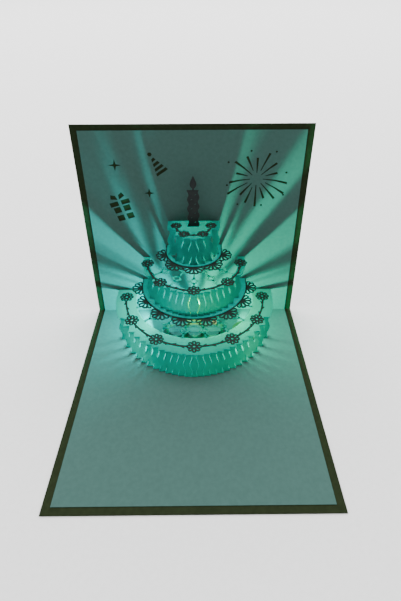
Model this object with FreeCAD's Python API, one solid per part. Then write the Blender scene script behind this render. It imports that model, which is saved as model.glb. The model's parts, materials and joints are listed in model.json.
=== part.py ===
import FreeCAD, Part
import math
import os

# Pop-up cake card, open at a right angle. Millimetres, +Z up, +Y towards the standing panel.
# The row's origin is the middle of the base panel's underside.
# Every piece is drawn about the fold: x to the right, "forward" away from the standing panel
# (so y = -forward), and z up from the face of the lining. The export moves it to the row's origin.

# Folded cover and its pale lining
PANEL_WIDTH = 152.0
PANEL_LENGTH = 149.8
COVER_THICKNESS = 0.5
LINING_THICKNESS = 0.3
LINING_SIDE_BORDER = 4.5
LINING_END_BORDER = 3.8
COVER_FOLD_RADIUS = 1.0
LINING_FOLD_RADIUS = 0.6

# Lengths below this count as none
NO_LENGTH = 1e-6

# Card stock of the tiers and of the dark lace
TIER_SHEET = 0.35
LACE_SHEET = 0.3
SLIT = 0.35
TAB_CLEARANCE = 0.08

# Heights shared by the three tiers
TIER_HEIGHT = 20.2
TIER_GAP = 10.2
FOOT_TAB = 2.6
STRIP_REACH = 0.97
WAVE_STEPS = 5
PLATE_TAB_SHARE = 0.6

# Bottom tier
BOTTOM_RADIUS = 58.5
BOTTOM_SETBACK = 8.0
BOTTOM_BAND = 15.0
BOTTOM_STRIP_PITCH = 4.27
BOTTOM_CENTRE_STRIP = BOTTOM_STRIP_PITCH
BOTTOM_WAVE = 0.8
BOTTOM_WAVE_COUNT = 1.45
BOTTOM_WAVE_PEAK = 0.44
BOTTOM_BRIDGE_RADIUS = 28.0
BOTTOM_BRIDGE_CHORDS = 12
BOTTOM_PENDANTS = 8
BOTTOM_PENDANT_STEP = 21.0

# Middle tier
MIDDLE_RADIUS = 36.8
MIDDLE_SETBACK = 5.6
MIDDLE_BAND = 5.0
MIDDLE_FLOOR_BAND = 4.6
MIDDLE_CENTRE_STRIP = 6.0
MIDDLE_STRIP_PITCH = 4.2
MIDDLE_WAVE = 0.72
MIDDLE_WAVE_COUNT = 1.25
MIDDLE_WAVE_PEAK = 0.5
MIDDLE_BRIDGE_RADIUS = 14.5
MIDDLE_BRIDGE_CHORDS = 8
MIDDLE_PENDANTS = 5
MIDDLE_PENDANT_STEP = 30.0

# Top tier
TOP_RADIUS = 17.8
TOP_SETBACK = 7.7
TOP_FLOOR_BAND = 2.2
TOP_STRIP_PITCH = 4.9
TOP_CENTRE_STRIP = TOP_STRIP_PITCH
TOP_WAVE = 0.85
TOP_WAVE_COUNT = 1.6
TOP_WAVE_PEAK = 0.42

# Floors of the two upper tiers, and the ornaments in the open middle of the two lower plates
FLOOR_LIP = 1.3
HIDDEN_CHORDS = 8
WINDOW_CHORDS = 16
BRIDGE_WIDTH = 1.4
PENDANT_STEM = 1.3
PENDANT_STEM_LENGTH = 5.0
PENDANT_FRAME = 7.6
PENDANT_FRAME_WIDTH = 1.3
PENDANT_SEAT = 0.6

# Lace collars under the upper tiers: half-round fans of petals on a ring
COLLAR_GLUE_BAND = 2.0
COLLAR_LINE = 0.8
FAN_RADIUS = 7.6
FAN_PETALS = 6
FAN_NOTCH = 0.82
FAN_HOLE_SPAN = (0.3, 0.84)
MIDDLE_COLLAR_FANS = 8
MIDDLE_FAN_STEP = 23.6
TOP_COLLAR_FANS = 5
TOP_FAN_STEP = 38.0

# Corners of a flat petal tip or hole, as a share of the petal's angle to each side of its middle
PETAL_TIP = 0.2

# Garlands of eight-petalled flowers on a leafy stem
FLOWER_PETALS = 8
FLOWER_NOTCH = 0.72
FLOWER_EYE = 0.22
STEM_WIDTH = 1.0
LEAF_REACH = 1.1
LEAF_PITCH = 6.0
BOTTOM_GARLAND_RADIUS = 51.0
BOTTOM_FLOWERS = 7
BOTTOM_FLOWER_STEP = 29.7
BOTTOM_FLOWER_RADIUS = 5.1
MIDDLE_GARLAND_RADIUS = 33.4
MIDDLE_FLOWERS = 5
MIDDLE_FLOWER_STEP = 42.9
MIDDLE_FLOWER_RADIUS = 4.7
TOP_GARLAND_RADIUS = 11.9
TOP_FLOWERS = 4
TOP_FLOWER_STEP = 62.9
TOP_FLOWER_RADIUS = 3.9

# Candle: a flat cut-out whose edges follow a twist
CANDLE_SHEET = 0.4
CANDLE_FORWARD = 8.0
CANDLE_WIDTH = 7.2
CANDLE_HEIGHT = 27.2
CANDLE_TWISTS = 4
CANDLE_TWIST_STEPS = 4
CANDLE_BULGE = 0.5
CANDLE_SLIT_LENGTH = 1.8
CANDLE_SLIT_WIDTH = 0.5
CANDLE_SLIT_TILT = 35.0
CANDLE_SLIT_OFFSET = 1.26
CANDLE_FOOT = 5.0
FLAME_HEIGHT = 9.0
FLAME_WIDTH = 4.4
FLAME_WIDEST = 0.35
WICK_WIDTH = 1.2
WICK_HEIGHT = 1.2

# Stencil cut in the standing half of the lining: each place is (x, drop from the upper edge)
SPARKLES = [(-50.6, 26.6, 4.3), (-29.4, 46.6, 3.5)]
SPARKLE_WAIST = 0.8
HAT_TIP = (-27.6, 19.4)
HAT_BASE = (-19.6, 32.2)
HAT_HALF_BASE = 4.6
HAT_STRIPES = 4
HAT_STRIPED_SHARE = 0.86
HAT_STRIPE_FILL = 0.62
HAT_STRIPE_SLANT = 0.5
HAT_BALL_RADIUS = 1.5
GIFT_CENTRE = (-47.6, 61.4)
GIFT_TILT = 17.0
GIFT_WIDTH = 11.6
GIFT_HEIGHT = 10.6
GIFT_LID_WIDTH = 14.0
GIFT_LID_HEIGHT = 3.4
GIFT_RIBBON = 2.0
GIFT_GAP = 0.9
BOW_LOOP = 5.6
BOW_SHAPE = [(0.09, 0.0), (0.9, 0.3), (0.7, 0.85), (0.2, 0.6)]
FIREWORK_CENTRE = (41.7, 36.7)
FIREWORK_RAYS = 16
FIREWORK_INNER = 4.2
FIREWORK_OUTER = 20.4
FIREWORK_REACHES = (1.0, 0.72, 0.88)
FIREWORK_STARTS = (1.0, 1.5)
FIREWORK_RAY_WIDTH = 1.6
FIREWORK_TAPER = 0.3
FIREWORK_DROOP = 3.2
FIREWORK_DOTS = 8
FIREWORK_DOT_RADIUS = 0.75
FIREWORK_DOT_REACHES = (0.97, 1.08)
FIREWORK_DOT_TURN = 12.8
STENCIL_OVERCUT = 1.0

# Light and sound module inside the bottom tier
BOARD_WIDTH = 42.0
BOARD_DEPTH = 22.0
BOARD_THICKNESS = 0.8
BOARD_FORWARD = 18.0
CELL_RADIUS = 5.8
CELL_HEIGHT = 3.1
CELL_SPACING = 12.4
CELL_FORWARD = 27.0
CLIP_WIDTH = 4.0
CLIP_SHEET = 0.3
CLIP_OVERHANG = 0.5
CHIP_WIDTH = 6.0
CHIP_DEPTH = 4.0
CHIP_HEIGHT = 1.4
CHIP_BEVEL = 0.3
CHIP_X = -8.0
CHIP_FORWARD = 36.2
LEAF_CONTACT_WIDTH = 3.0
LEAF_CONTACT_SHEET = 0.2
LEAF_CONTACT_SEAT = 3.0
LEAF_CONTACT_LENGTH = 9.0
LEAF_CONTACT_RISE = 2.4
LEAF_CONTACT_X = 15.0
STRIP_WIDTH = 13.0
STRIP_FILM = 0.25
STRIP_RISE = 12.0
LED_WIDTH = 3.5
LED_HEIGHT = 2.8
LED_DEPTH = 1.9
LED_BEVEL = 0.3
LED_X = 2.4
LED_Z = 8.0
SPEAKER_RADIUS = 10.0
SPEAKER_HEIGHT = 0.5
SPEAKER_X = 38.0
SPEAKER_FORWARD = 24.0

MIDDLE_FLOOR_Z = TIER_HEIGHT + TIER_GAP
TOP_FLOOR_Z = 2 * MIDDLE_FLOOR_Z
FOLD_FACE_Y = PANEL_LENGTH / 2 - COVER_THICKNESS - LINING_THICKNESS
BASE_FACE_Z = COVER_THICKNESS + LINING_THICKNESS


def vec(x, y, z=0.0):
    return FreeCAD.Vector(x, y, z)


def polygon(points):
    """Closed flat wire through (x, y) points."""
    corners = [vec(x, y) for x, y in points]
    return Part.makePolygon(corners + corners[:1])


def plate(wires, z, thickness):
    """Flat sheet bounded by wires, with its underside at height z."""
    face = Part.makeFace(wires, "Part::FaceMakerBullseye")
    face.translate(vec(0, 0, z))
    return face.extrude(vec(0, 0, thickness))


def upright(wires, forward, thickness):
    """Sheet drawn in (x, height) and stood up, with its front face at the given distance forward."""
    face = Part.makeFace(wires, "Part::FaceMakerBullseye")
    face.rotate(vec(0, 0), vec(1, 0), 90)
    face.translate(vec(0, -forward))
    return face.extrude(vec(0, thickness))


def box(width, depth, height, x_mid, forward, z):
    """Block centred on x_mid whose back face is at the given distance forward."""
    return Part.makeBox(width, depth, height, vec(x_mid - width / 2, -forward - depth, z))


def fuse(solids):
    """One solid out of touching ones, with flush faces joined."""
    if len(solids) == 1:
        return solids[0]
    return solids[0].multiFuse(solids[1:]).removeSplitter()


def turned(points, centre, angle_deg):
    """Points turned about the origin by an angle and moved to a centre."""
    c, s = math.cos(math.radians(angle_deg)), math.sin(math.radians(angle_deg))
    return [(centre[0] + x * c - y * s, centre[1] + x * s + y * c) for x, y in points]


def ring_point(radius, setback, angle_deg):
    """Point at an angle from straight forward on a circle centred in front of the panel."""
    a = math.radians(angle_deg)
    return (radius * math.sin(a), -setback - radius * math.cos(a))


def arc_edge(radius, setback, start_deg, end_deg):
    """Circular edge between two angles from straight forward."""
    ends = (start_deg, (start_deg + end_deg) / 2, end_deg)
    return Part.Arc(*[vec(*ring_point(radius, setback, a)) for a in ends]).toShape()


def line_edges(points):
    """Straight edges through (x, y) points, leaving out any of no length."""
    pairs = zip(points[:-1], points[1:])
    return [Part.makeLine(vec(*a), vec(*b)) for a, b in pairs if math.dist(a, b) > NO_LENGTH]


def bow_side(radius, setback, chords):
    """Points round a D shape from panel to panel, its curve in equal chords."""
    curve = [ring_point(radius, setback, -90 + 180 * i / chords) for i in range(chords + 1)]
    return [(-radius, 0)] + curve + [(radius, 0)]


def horseshoe(outer, inner, setback):
    """Band open at the standing panel, round outside and in chords on its hidden inner edge."""
    inside = bow_side(inner, setback, HIDDEN_CHORDS)
    edges = [arc_edge(outer, setback, -90, 90)]
    edges += line_edges([(outer, -setback), (outer, 0)] + inside[::-1]
                        + [(-outer, 0), (-outer, -setback)])
    return Part.Wire(edges)


class Tier:
    """One storey of the cake: a stepped plate with wavy strips hanging from its edge."""

    def __init__(self, radius, setback, floor_z, band, centre, pitch, wave, count, peak):
        self.radius = radius
        self.setback = setback
        self.floor_z = floor_z
        self.top_z = floor_z + TIER_HEIGHT
        self.band = band
        self.centre = centre
        self.pitch = pitch
        self.side_strips = int((STRIP_REACH * radius - centre / 2) / pitch)
        self.wave = wave
        self.count = count
        self.peak = peak

    def strip_span(self, k):
        """Left and right cut lines of strip k, counted from the middle one."""
        if k == 0:
            return (-self.centre / 2, self.centre / 2)
        inner = self.centre / 2 + (abs(k) - 1) * self.pitch
        outer = inner + self.pitch
        return (inner, outer) if k > 0 else (-outer, -inner)

    def depth(self, k):
        """How far forward strip k stands: its outer corner is on the tier's circle."""
        corner = max(abs(x) for x in self.strip_span(k))
        return self.setback + math.sqrt(self.radius ** 2 - corner ** 2)

    def sway(self, share):
        """Sideways swing of a cut line at a share of the way down the wall."""
        return self.wave * math.cos(2 * math.pi * self.count * (share - self.peak))

    def edge_line(self, x, side):
        """Points down one wavy edge that starts from cut line x and swings to one side."""
        shares = [i / WAVE_STEPS for i in range(WAVE_STEPS + 1)]
        return [(x + side * self.sway(s), self.top_z - s * TIER_HEIGHT) for s in shares]

    def strip(self, k):
        """Wavy strip k with its edges in line with its neighbours'."""
        left, right = self.strip_span(k)
        left_side = -1 if k <= 0 else 1
        right_side = 1 if k >= 0 else -1
        left_edge = self.edge_line(left + SLIT / 2, left_side)
        right_edge = self.edge_line(right - SLIT / 2, right_side)
        outline = polygon(left_edge + right_edge[::-1])
        return upright([outline], self.depth(k), TIER_SHEET)

    def foot(self, k):
        """Glue tab of strip k, turned in under the tier."""
        left, right = self.strip_span(k)
        width = right - left - SLIT
        middle = (left + right) / 2
        if k:
            middle += math.copysign(self.sway(1.0), k)
        return box(width, FOOT_TAB, TIER_SHEET, middle, self.depth(k) - FOOT_TAB, self.floor_z)

    def strips(self):
        return [self.strip(k) for k in range(-self.side_strips, self.side_strips + 1)]

    def feet(self):
        return [self.foot(k) for k in range(-self.side_strips, self.side_strips + 1)]

    def stair(self):
        """Front edge of the plate, with one step for each strip."""
        points = []
        for k in range(-self.side_strips, self.side_strips + 1):
            left, right = self.strip_span(k)
            points += [(left, -self.depth(k)), (right, -self.depth(k))]
        return points

    def end_angle(self):
        """Angle from straight forward at which the last strip's corner meets the circle."""
        corner = self.strip_span(self.side_strips)[1]
        return math.degrees(math.asin(corner / self.radius))

    def plate_outline(self):
        """Outline of the top plate: the stair of strips outside and, on a band, an open middle."""
        end = self.end_angle()
        inside = bow_side(self.radius - self.band, self.setback, WINDOW_CHORDS) if self.band else []
        edges = [arc_edge(self.radius, self.setback, -90, -end)]
        edges += line_edges(self.stair())
        edges += [arc_edge(self.radius, self.setback, end, 90)]
        edges += line_edges([(self.radius, -self.setback), (self.radius, 0)] + inside[::-1]
                            + [(-self.radius, 0), (-self.radius, -self.setback)])
        return Part.Wire(edges)


BOTTOM = Tier(BOTTOM_RADIUS, BOTTOM_SETBACK, 0.0, BOTTOM_BAND, BOTTOM_CENTRE_STRIP,
              BOTTOM_STRIP_PITCH, BOTTOM_WAVE, BOTTOM_WAVE_COUNT, BOTTOM_WAVE_PEAK)
MIDDLE = Tier(MIDDLE_RADIUS, MIDDLE_SETBACK, MIDDLE_FLOOR_Z, MIDDLE_BAND, MIDDLE_CENTRE_STRIP,
              MIDDLE_STRIP_PITCH, MIDDLE_WAVE, MIDDLE_WAVE_COUNT, MIDDLE_WAVE_PEAK)
TOP = Tier(TOP_RADIUS, TOP_SETBACK, TOP_FLOOR_Z, 0.0, TOP_CENTRE_STRIP, TOP_STRIP_PITCH,
           TOP_WAVE, TOP_WAVE_COUNT, TOP_WAVE_PEAK)


def tab_list():
    """Tabs that carry the tiers: (x, width, underside height) of each, for tabs and their slots."""
    plates = []
    for tier in (BOTTOM, MIDDLE, TOP):
        seat = tier.band or tier.radius
        plates.append((tier.radius - seat / 2, PLATE_TAB_SHARE * seat, tier.top_z - TIER_SHEET))
    for tier, band in ((MIDDLE, MIDDLE_FLOOR_BAND), (TOP, TOP_FLOOR_BAND)):
        plates.append((tier.radius + FLOOR_LIP - band / 2, band / 2, tier.floor_z))
    return plates


def tabs(wanted):
    """Tabs of one sheet, let into the lining behind the plates listed by number."""
    solids = []
    for number in wanted:
        x, width, z = tab_list()[number]
        for side in (-1, 1):
            solids.append(box(width, LINING_THICKNESS, TIER_SHEET, side * x, -LINING_THICKNESS, z))
    return solids


def ornaments(tier, bow_radius, chords, count, step):
    """Bow across a plate's open middle, joined to its rim by lozenge frames on stems."""
    z = tier.top_z - TIER_SHEET
    outside = bow_side(bow_radius + BRIDGE_WIDTH / 2, tier.setback, chords)
    inside = bow_side(bow_radius - BRIDGE_WIDTH / 2, tier.setback, chords)
    solids = [plate([polygon(outside + inside[::-1])], z, TIER_SHEET)]
    half = PENDANT_FRAME / 2
    middle = -PENDANT_STEM_LENGTH - half
    rim = tier.band - tier.radius + bow_radius - PENDANT_SEAT
    edge = half - PENDANT_FRAME_WIDTH
    for i in range(count):
        angle = (i - (count - 1) / 2) * step
        root = ring_point(bow_radius, tier.setback, angle)
        wires = []
        for reach in (half, half - PENDANT_FRAME_WIDTH * math.sqrt(2)):
            lozenge = [(0, middle - reach), (reach, middle), (0, middle + reach), (-reach, middle)]
            wires.append(polygon(turned(lozenge, root, angle)))
        solids.append(plate(wires, z, TIER_SHEET))
        for near, far in ((0, middle + edge), (middle - edge, rim)):
            stem = [(-PENDANT_STEM / 2, near), (PENDANT_STEM / 2, near),
                    (PENDANT_STEM / 2, far), (-PENDANT_STEM / 2, far)]
            solids.append(plate([polygon(turned(stem, root, angle))], z, TIER_SHEET))
    return solids


def tier_floor(tier, band):
    """Pale band that the strips of an upper tier stand on."""
    rim = tier.radius + FLOOR_LIP
    return plate([horseshoe(rim, rim - band, tier.setback)], tier.floor_z, TIER_SHEET)


def top_plate(tier):
    return plate([tier.plate_outline()], tier.top_z - TIER_SHEET, TIER_SHEET)


def bottom_tier():
    parts = [top_plate(BOTTOM)]
    parts += ornaments(BOTTOM, BOTTOM_BRIDGE_RADIUS, BOTTOM_BRIDGE_CHORDS, BOTTOM_PENDANTS,
                       BOTTOM_PENDANT_STEP)
    return fuse(parts + BOTTOM.strips() + BOTTOM.feet() + tabs([0]))


def middle_tier():
    parts = [top_plate(MIDDLE), tier_floor(MIDDLE, MIDDLE_FLOOR_BAND)]
    parts += ornaments(MIDDLE, MIDDLE_BRIDGE_RADIUS, MIDDLE_BRIDGE_CHORDS, MIDDLE_PENDANTS,
                       MIDDLE_PENDANT_STEP)
    return fuse(parts + MIDDLE.strips() + tabs([1, 3]))


def top_tier():
    return fuse([top_plate(TOP), tier_floor(TOP, TOP_FLOOR_BAND)] + TOP.strips() + tabs([2, 4]))


def fan(root, angle_deg, z):
    """Half-round lace fan of pierced petals, standing out from its root."""
    step = 180.0 / FAN_PETALS
    tip = PETAL_TIP * step
    near, far = FAN_HOLE_SPAN
    outline = []
    holes = []
    for i in range(FAN_PETALS):
        turn = -90 + (i + 0.5) * step
        petal = [(-step / 2, FAN_NOTCH), (0, 1.0)]
        outline += [ring_point(FAN_RADIUS * share, 0, turn + offset) for offset, share in petal]
        cut = [(0, near), (-tip, far), (tip, far)]
        hole = [ring_point(FAN_RADIUS * share, 0, turn + offset) for offset, share in cut]
        holes.append(polygon(turned(hole, root, angle_deg)))
    outline.append(ring_point(FAN_RADIUS * FAN_NOTCH, 0, 90))
    wire = polygon(turned(outline, root, angle_deg))
    return plate([wire] + holes, z, LACE_SHEET)


def collar(tier, fans, fan_step):
    """Lace collar glued under a tier's floor: a ring line edged with fans."""
    rim = tier.radius + FLOOR_LIP
    z = tier.floor_z - LACE_SHEET
    line = rim + COLLAR_LINE
    solids = [plate([horseshoe(line, rim - COLLAR_GLUE_BAND, tier.setback)], z, LACE_SHEET)]
    for i in range(fans):
        angle = (i - (fans - 1) / 2) * fan_step
        root = ring_point(line - COLLAR_LINE / 2, tier.setback, angle)
        solids.append(fan(root, angle, z))
    behind = box(PANEL_WIDTH, PANEL_LENGTH, 3 * LACE_SHEET, 0, -PANEL_LENGTH, z - LACE_SHEET)
    return fuse(solids).cut(behind)


def flower(centre, radius, z):
    """Eight-petalled flower with a pierced eye."""
    step = 360.0 / FLOWER_PETALS
    tip = PETAL_TIP * step
    outline = []
    for i in range(FLOWER_PETALS):
        for offset, share in ((-step / 2, FLOWER_NOTCH), (-tip, 1.0), (tip, 1.0)):
            outline.append(ring_point(radius * share, 0, i * step + offset))
    eye = [ring_point(radius * FLOWER_EYE, 0, 90 * i) for i in range(4)]
    wires = [polygon(turned(points, centre, 0)) for points in (outline, eye)]
    return plate(wires, z, LACE_SHEET)


def stem(radius, setback, half_angle, z):
    """Curved stem with pointed leaves that alternate from side to side."""
    count = max(2, round(math.radians(2 * half_angle) * radius / LEAF_PITCH))
    step = 2 * half_angle / count
    outer = []
    inner = []
    for i in range(count + 1):
        angle = -half_angle + i * step
        outer.append(ring_point(radius + STEM_WIDTH / 2, setback, angle))
        inner.append(ring_point(radius - STEM_WIDTH / 2, setback, angle))
        if i == count:
            break
        side, edge = (1, outer) if i % 2 else (-1, inner)
        reach = radius + side * (STEM_WIDTH / 2 + LEAF_REACH)
        edge.append(ring_point(reach, setback, angle + step / 2))
    return plate([polygon(outer + inner[::-1])], z, LACE_SHEET)


def garland(tier, radius, flowers, flower_step, flower_radius):
    """Cut-out garland lying on a tier's top plate."""
    half = (flowers - 1) / 2 * flower_step
    solids = [stem(radius, tier.setback, half, tier.top_z)]
    for i in range(flowers):
        centre = ring_point(radius, tier.setback, -half + i * flower_step)
        solids.append(flower(centre, flower_radius, tier.top_z))
    return fuse(solids)


def candle():
    """Twisted candle and flame cut from one flat sheet, with a foot turned back onto the plate."""
    steps = CANDLE_TWIST_STEPS * CANDLE_TWISTS
    half = CANDLE_WIDTH / 2
    left = []
    right = []
    for i in range(steps + 1):
        share = i / steps
        bulge = CANDLE_BULGE * math.cos(2 * math.pi * CANDLE_TWISTS * share)
        shifted = CANDLE_BULGE * math.cos(2 * math.pi * (CANDLE_TWISTS * share - 0.25))
        left.append((-half - bulge, share * CANDLE_HEIGHT))
        right.append((half + shifted, share * CANDLE_HEIGHT))
    wick_top = CANDLE_HEIGHT + WICK_HEIGHT
    flame = [(WICK_WIDTH / 2, CANDLE_HEIGHT), (WICK_WIDTH / 2, wick_top),
             (FLAME_WIDTH / 2, wick_top + FLAME_HEIGHT * FLAME_WIDEST),
             (0, wick_top + FLAME_HEIGHT),
             (-FLAME_WIDTH / 2, wick_top + FLAME_HEIGHT * FLAME_WIDEST),
             (-WICK_WIDTH / 2, wick_top), (-WICK_WIDTH / 2, CANDLE_HEIGHT)]
    cuts = []
    along, across = CANDLE_SLIT_LENGTH / 2, CANDLE_SLIT_WIDTH / 2
    slit = [(-along, -across), (along, -across), (along, across), (-along, across)]
    for i in range(2 * CANDLE_TWISTS - 1):
        height = (i + 1) * CANDLE_HEIGHT / (2 * CANDLE_TWISTS)
        middle = (CANDLE_SLIT_OFFSET * (-1) ** i, height)
        cuts.append(polygon(turned(slit, middle, CANDLE_SLIT_TILT)))
    body = upright([polygon(right + flame + left[::-1])] + cuts, CANDLE_FORWARD, CANDLE_SHEET)
    foot = box(CANDLE_WIDTH - 2 * CANDLE_BULGE, CANDLE_FOOT, CANDLE_SHEET, 0,
               CANDLE_FORWARD - CANDLE_FOOT, 0)
    solid = fuse([body, foot])
    solid.translate(vec(0, 0, TOP.top_z))
    return solid


def fold_section(thickness, inner_gap, length, fold_radius):
    """Section of a sheet folded square, in (y, z), as a wire in the YZ plane."""
    near, far = inner_gap, inner_gap + thickness
    bend = far - fold_radius
    middle = bend + fold_radius / math.sqrt(2)
    inner_radius = fold_radius - thickness
    inner_middle = bend + inner_radius / math.sqrt(2)

    def at(y, z):
        return vec(0, y, -z)

    edges = [Part.makeLine(at(-length, near), at(-length, far)),
             Part.makeLine(at(-length, far), at(bend, far)),
             Part.Arc(at(bend, far), at(middle, middle), at(far, bend)).toShape(),
             Part.makeLine(at(far, bend), at(far, -length)),
             Part.makeLine(at(far, -length), at(near, -length)),
             Part.makeLine(at(near, -length), at(near, bend)),
             Part.Arc(at(near, bend), at(inner_middle, inner_middle), at(bend, near)).toShape(),
             Part.makeLine(at(bend, near), at(-length, near))]
    return Part.Wire(edges)


def folded_sheet(width, thickness, inner_gap, length, fold_radius):
    """Sheet folded once across its middle, half lying and half standing."""
    face = Part.Face(fold_section(thickness, inner_gap, length, fold_radius))
    face.translate(vec(-width / 2, 0, 0))
    return face.extrude(vec(width, 0, 0))


def cover():
    length = PANEL_LENGTH - COVER_THICKNESS - LINING_THICKNESS
    return folded_sheet(PANEL_WIDTH, COVER_THICKNESS, LINING_THICKNESS, length, COVER_FOLD_RADIUS)


def on_panel(place):
    """Point of the standing panel at (x, drop from the upper edge), as (x, height)."""
    x, drop = place
    return (x, PANEL_LENGTH - BASE_FACE_Z - drop)


def sparkle(centre, arm):
    """Four-pointed star."""
    points = []
    for i in range(8):
        reach = arm if i % 2 == 0 else SPARKLE_WAIST * math.sqrt(2)
        angle = math.radians(45 * i)
        points.append((centre[0] + reach * math.cos(angle), centre[1] + reach * math.sin(angle)))
    return polygon(points)


def dot(centre, radius, sides=6):
    turns = [2 * math.pi * i / sides for i in range(sides)]
    return polygon([(centre[0] + radius * math.cos(a), centre[1] + radius * math.sin(a)) for a in turns])


def hat():
    """Cone hat of separate slanting stripes, with a ball on its tip."""
    tip, base = on_panel(HAT_TIP), on_panel(HAT_BASE)
    rise = (tip[0] - base[0], tip[1] - base[1])
    length = math.hypot(*rise)
    tilt = math.degrees(math.atan2(rise[1], rise[0])) - 90
    wires = [dot(tip, HAT_BALL_RADIUS)]
    pitch = HAT_STRIPED_SHARE * length / HAT_STRIPES
    for i in range(HAT_STRIPES):
        low, high = i * pitch, (i + HAT_STRIPE_FILL) * pitch
        stripe = []
        for y, side in ((low, -1), (low + HAT_STRIPE_SLANT, 1), (high + HAT_STRIPE_SLANT, 1),
                        (high, -1)):
            stripe.append((side * HAT_HALF_BASE * (1 - y / length), y))
        wires.append(polygon(turned(stripe, base, tilt)))
    return wires


def gift():
    """Wrapped box: four blocks about a ribbon cross, a split lid and two bow loops."""
    blocks = []
    ribbon_half = GIFT_RIBBON / 2
    middle = GIFT_HEIGHT / 2
    lid_low = GIFT_HEIGHT + GIFT_GAP
    lid_high = lid_low + GIFT_LID_HEIGHT
    bow_low = lid_high + GIFT_GAP
    rows = [(GIFT_WIDTH / 2, 0, middle - ribbon_half),
            (GIFT_WIDTH / 2, middle + ribbon_half, GIFT_HEIGHT),
            (GIFT_LID_WIDTH / 2, lid_low, lid_high)]
    for side in (-1, 1):
        for reach, low, high in rows:
            blocks.append([(side * ribbon_half, low), (side * reach, low), (side * reach, high),
                           (side * ribbon_half, high)])
        blocks.append([(side * BOW_LOOP * x, bow_low + BOW_LOOP * y) for x, y in BOW_SHAPE])
    lowered = [[(x, y - GIFT_HEIGHT / 2) for x, y in block] for block in blocks]
    return [polygon(turned(block, on_panel(GIFT_CENTRE), GIFT_TILT)) for block in lowered]


def firework():
    """Burst of drooping, tapering rays of three lengths, with dots beyond the shorter ones."""
    middle = on_panel(FIREWORK_CENTRE)
    wires = []

    def drooped(point, angle):
        """Point of a ray drawn along x, turned to its angle and let down towards its end."""
        x, y = turned([point], middle, angle)[0]
        fall = FIREWORK_DROOP * abs(math.cos(math.radians(angle)))
        return (x, y - fall * (point[0] / FIREWORK_OUTER) ** 2)

    for i in range(FIREWORK_RAYS):
        angle = 360.0 * i / FIREWORK_RAYS
        inner = FIREWORK_INNER * FIREWORK_STARTS[i % 2]
        outer = FIREWORK_OUTER * FIREWORK_REACHES[i % 3]
        wide = FIREWORK_RAY_WIDTH / 2
        narrow = FIREWORK_TAPER * wide
        halfway, medium = (inner + outer) / 2, (narrow + wide) / 2
        ray = [(inner, -narrow), (halfway, -medium), (outer, -wide), (outer, wide),
               (halfway, medium), (inner, narrow)]
        wires.append(polygon([drooped(point, angle) for point in ray]))
    for i in range(FIREWORK_DOTS):
        angle = math.radians(360.0 * i / FIREWORK_DOTS + FIREWORK_DOT_TURN)
        reach = FIREWORK_OUTER * FIREWORK_DOT_REACHES[i % 2]
        centre = (middle[0] + reach * math.cos(angle), middle[1] + reach * math.sin(angle))
        wires.append(dot(centre, FIREWORK_DOT_RADIUS, 6))
    return wires


def stencil():
    """Cutters for the motifs and for the tab slots of the standing half."""
    wires = [sparkle(on_panel((x, drop)), arm) for x, drop, arm in SPARKLES]
    wires += hat() + gift() + firework()
    through = LINING_THICKNESS + 2 * STENCIL_OVERCUT
    cutters = [upright([wire], STENCIL_OVERCUT, through) for wire in wires]
    for x, width, z in tab_list():
        for side in (-1, 1):
            cutters.append(box(width + 2 * TAB_CLEARANCE, through, TIER_SHEET + 2 * TAB_CLEARANCE,
                               side * x, STENCIL_OVERCUT - through, z - TAB_CLEARANCE))
    return cutters


def lining():
    """Pale sheet glued inside the cover, with the stencil cut through its standing half."""
    width = PANEL_WIDTH - 2 * LINING_SIDE_BORDER
    length = PANEL_LENGTH - COVER_THICKNESS - LINING_THICKNESS - LINING_END_BORDER
    sheet = folded_sheet(width, LINING_THICKNESS, 0.0, length, LINING_FOLD_RADIUS)
    return sheet.cut(Part.makeCompound(stencil()))


def circuit_board():
    return box(BOARD_WIDTH, BOARD_DEPTH, BOARD_THICKNESS, 0, BOARD_FORWARD, 0)


def button_cell(x):
    """Coin cell, lying on the board."""
    return Part.makeCylinder(CELL_RADIUS, CELL_HEIGHT, vec(x, -CELL_FORWARD, BOARD_THICKNESS))


def battery_clip():
    """Sprung strap over the three cells, standing on the board at both ends."""
    inner = CELL_SPACING + CELL_RADIUS + CLIP_OVERHANG
    outer = inner + CLIP_SHEET
    low, top = BOARD_THICKNESS, BOARD_THICKNESS + CELL_HEIGHT
    high = top + CLIP_SHEET
    points = [(-outer, low), (-inner, low), (-inner, top), (inner, top), (inner, low),
              (outer, low), (outer, high), (-outer, high)]
    return upright([polygon(points)], CELL_FORWARD + CLIP_WIDTH / 2, CLIP_WIDTH)


def sound_chip():
    """Moulded chip with bevelled upper edges."""
    body = box(CHIP_WIDTH, CHIP_DEPTH, CHIP_HEIGHT, CHIP_X, CHIP_FORWARD - CHIP_DEPTH / 2,
               BOARD_THICKNESS)
    upper = [e for e in body.Edges if e.BoundBox.ZMin > BOARD_THICKNESS + CHIP_HEIGHT / 2]
    return body.makeChamfer(CHIP_BEVEL, upper)


def contact_leaf():
    """Springy leaf of the opening switch, reaching back from the board towards the fold."""
    bend = -BOARD_FORWARD
    start = bend - LEAF_CONTACT_SEAT
    end = start + LEAF_CONTACT_LENGTH
    low, high = BOARD_THICKNESS, BOARD_THICKNESS + LEAF_CONTACT_SHEET
    points = [(start, low), (bend, low), (end, low + LEAF_CONTACT_RISE),
              (end, high + LEAF_CONTACT_RISE), (bend, high), (start, high)]
    section = Part.makePolygon([vec(0, y, h) for y, h in points + points[:1]])
    face = Part.Face(section)
    face.translate(vec(LEAF_CONTACT_X - LEAF_CONTACT_WIDTH / 2, 0, 0))
    return face.extrude(vec(LEAF_CONTACT_WIDTH, 0, 0))


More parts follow.
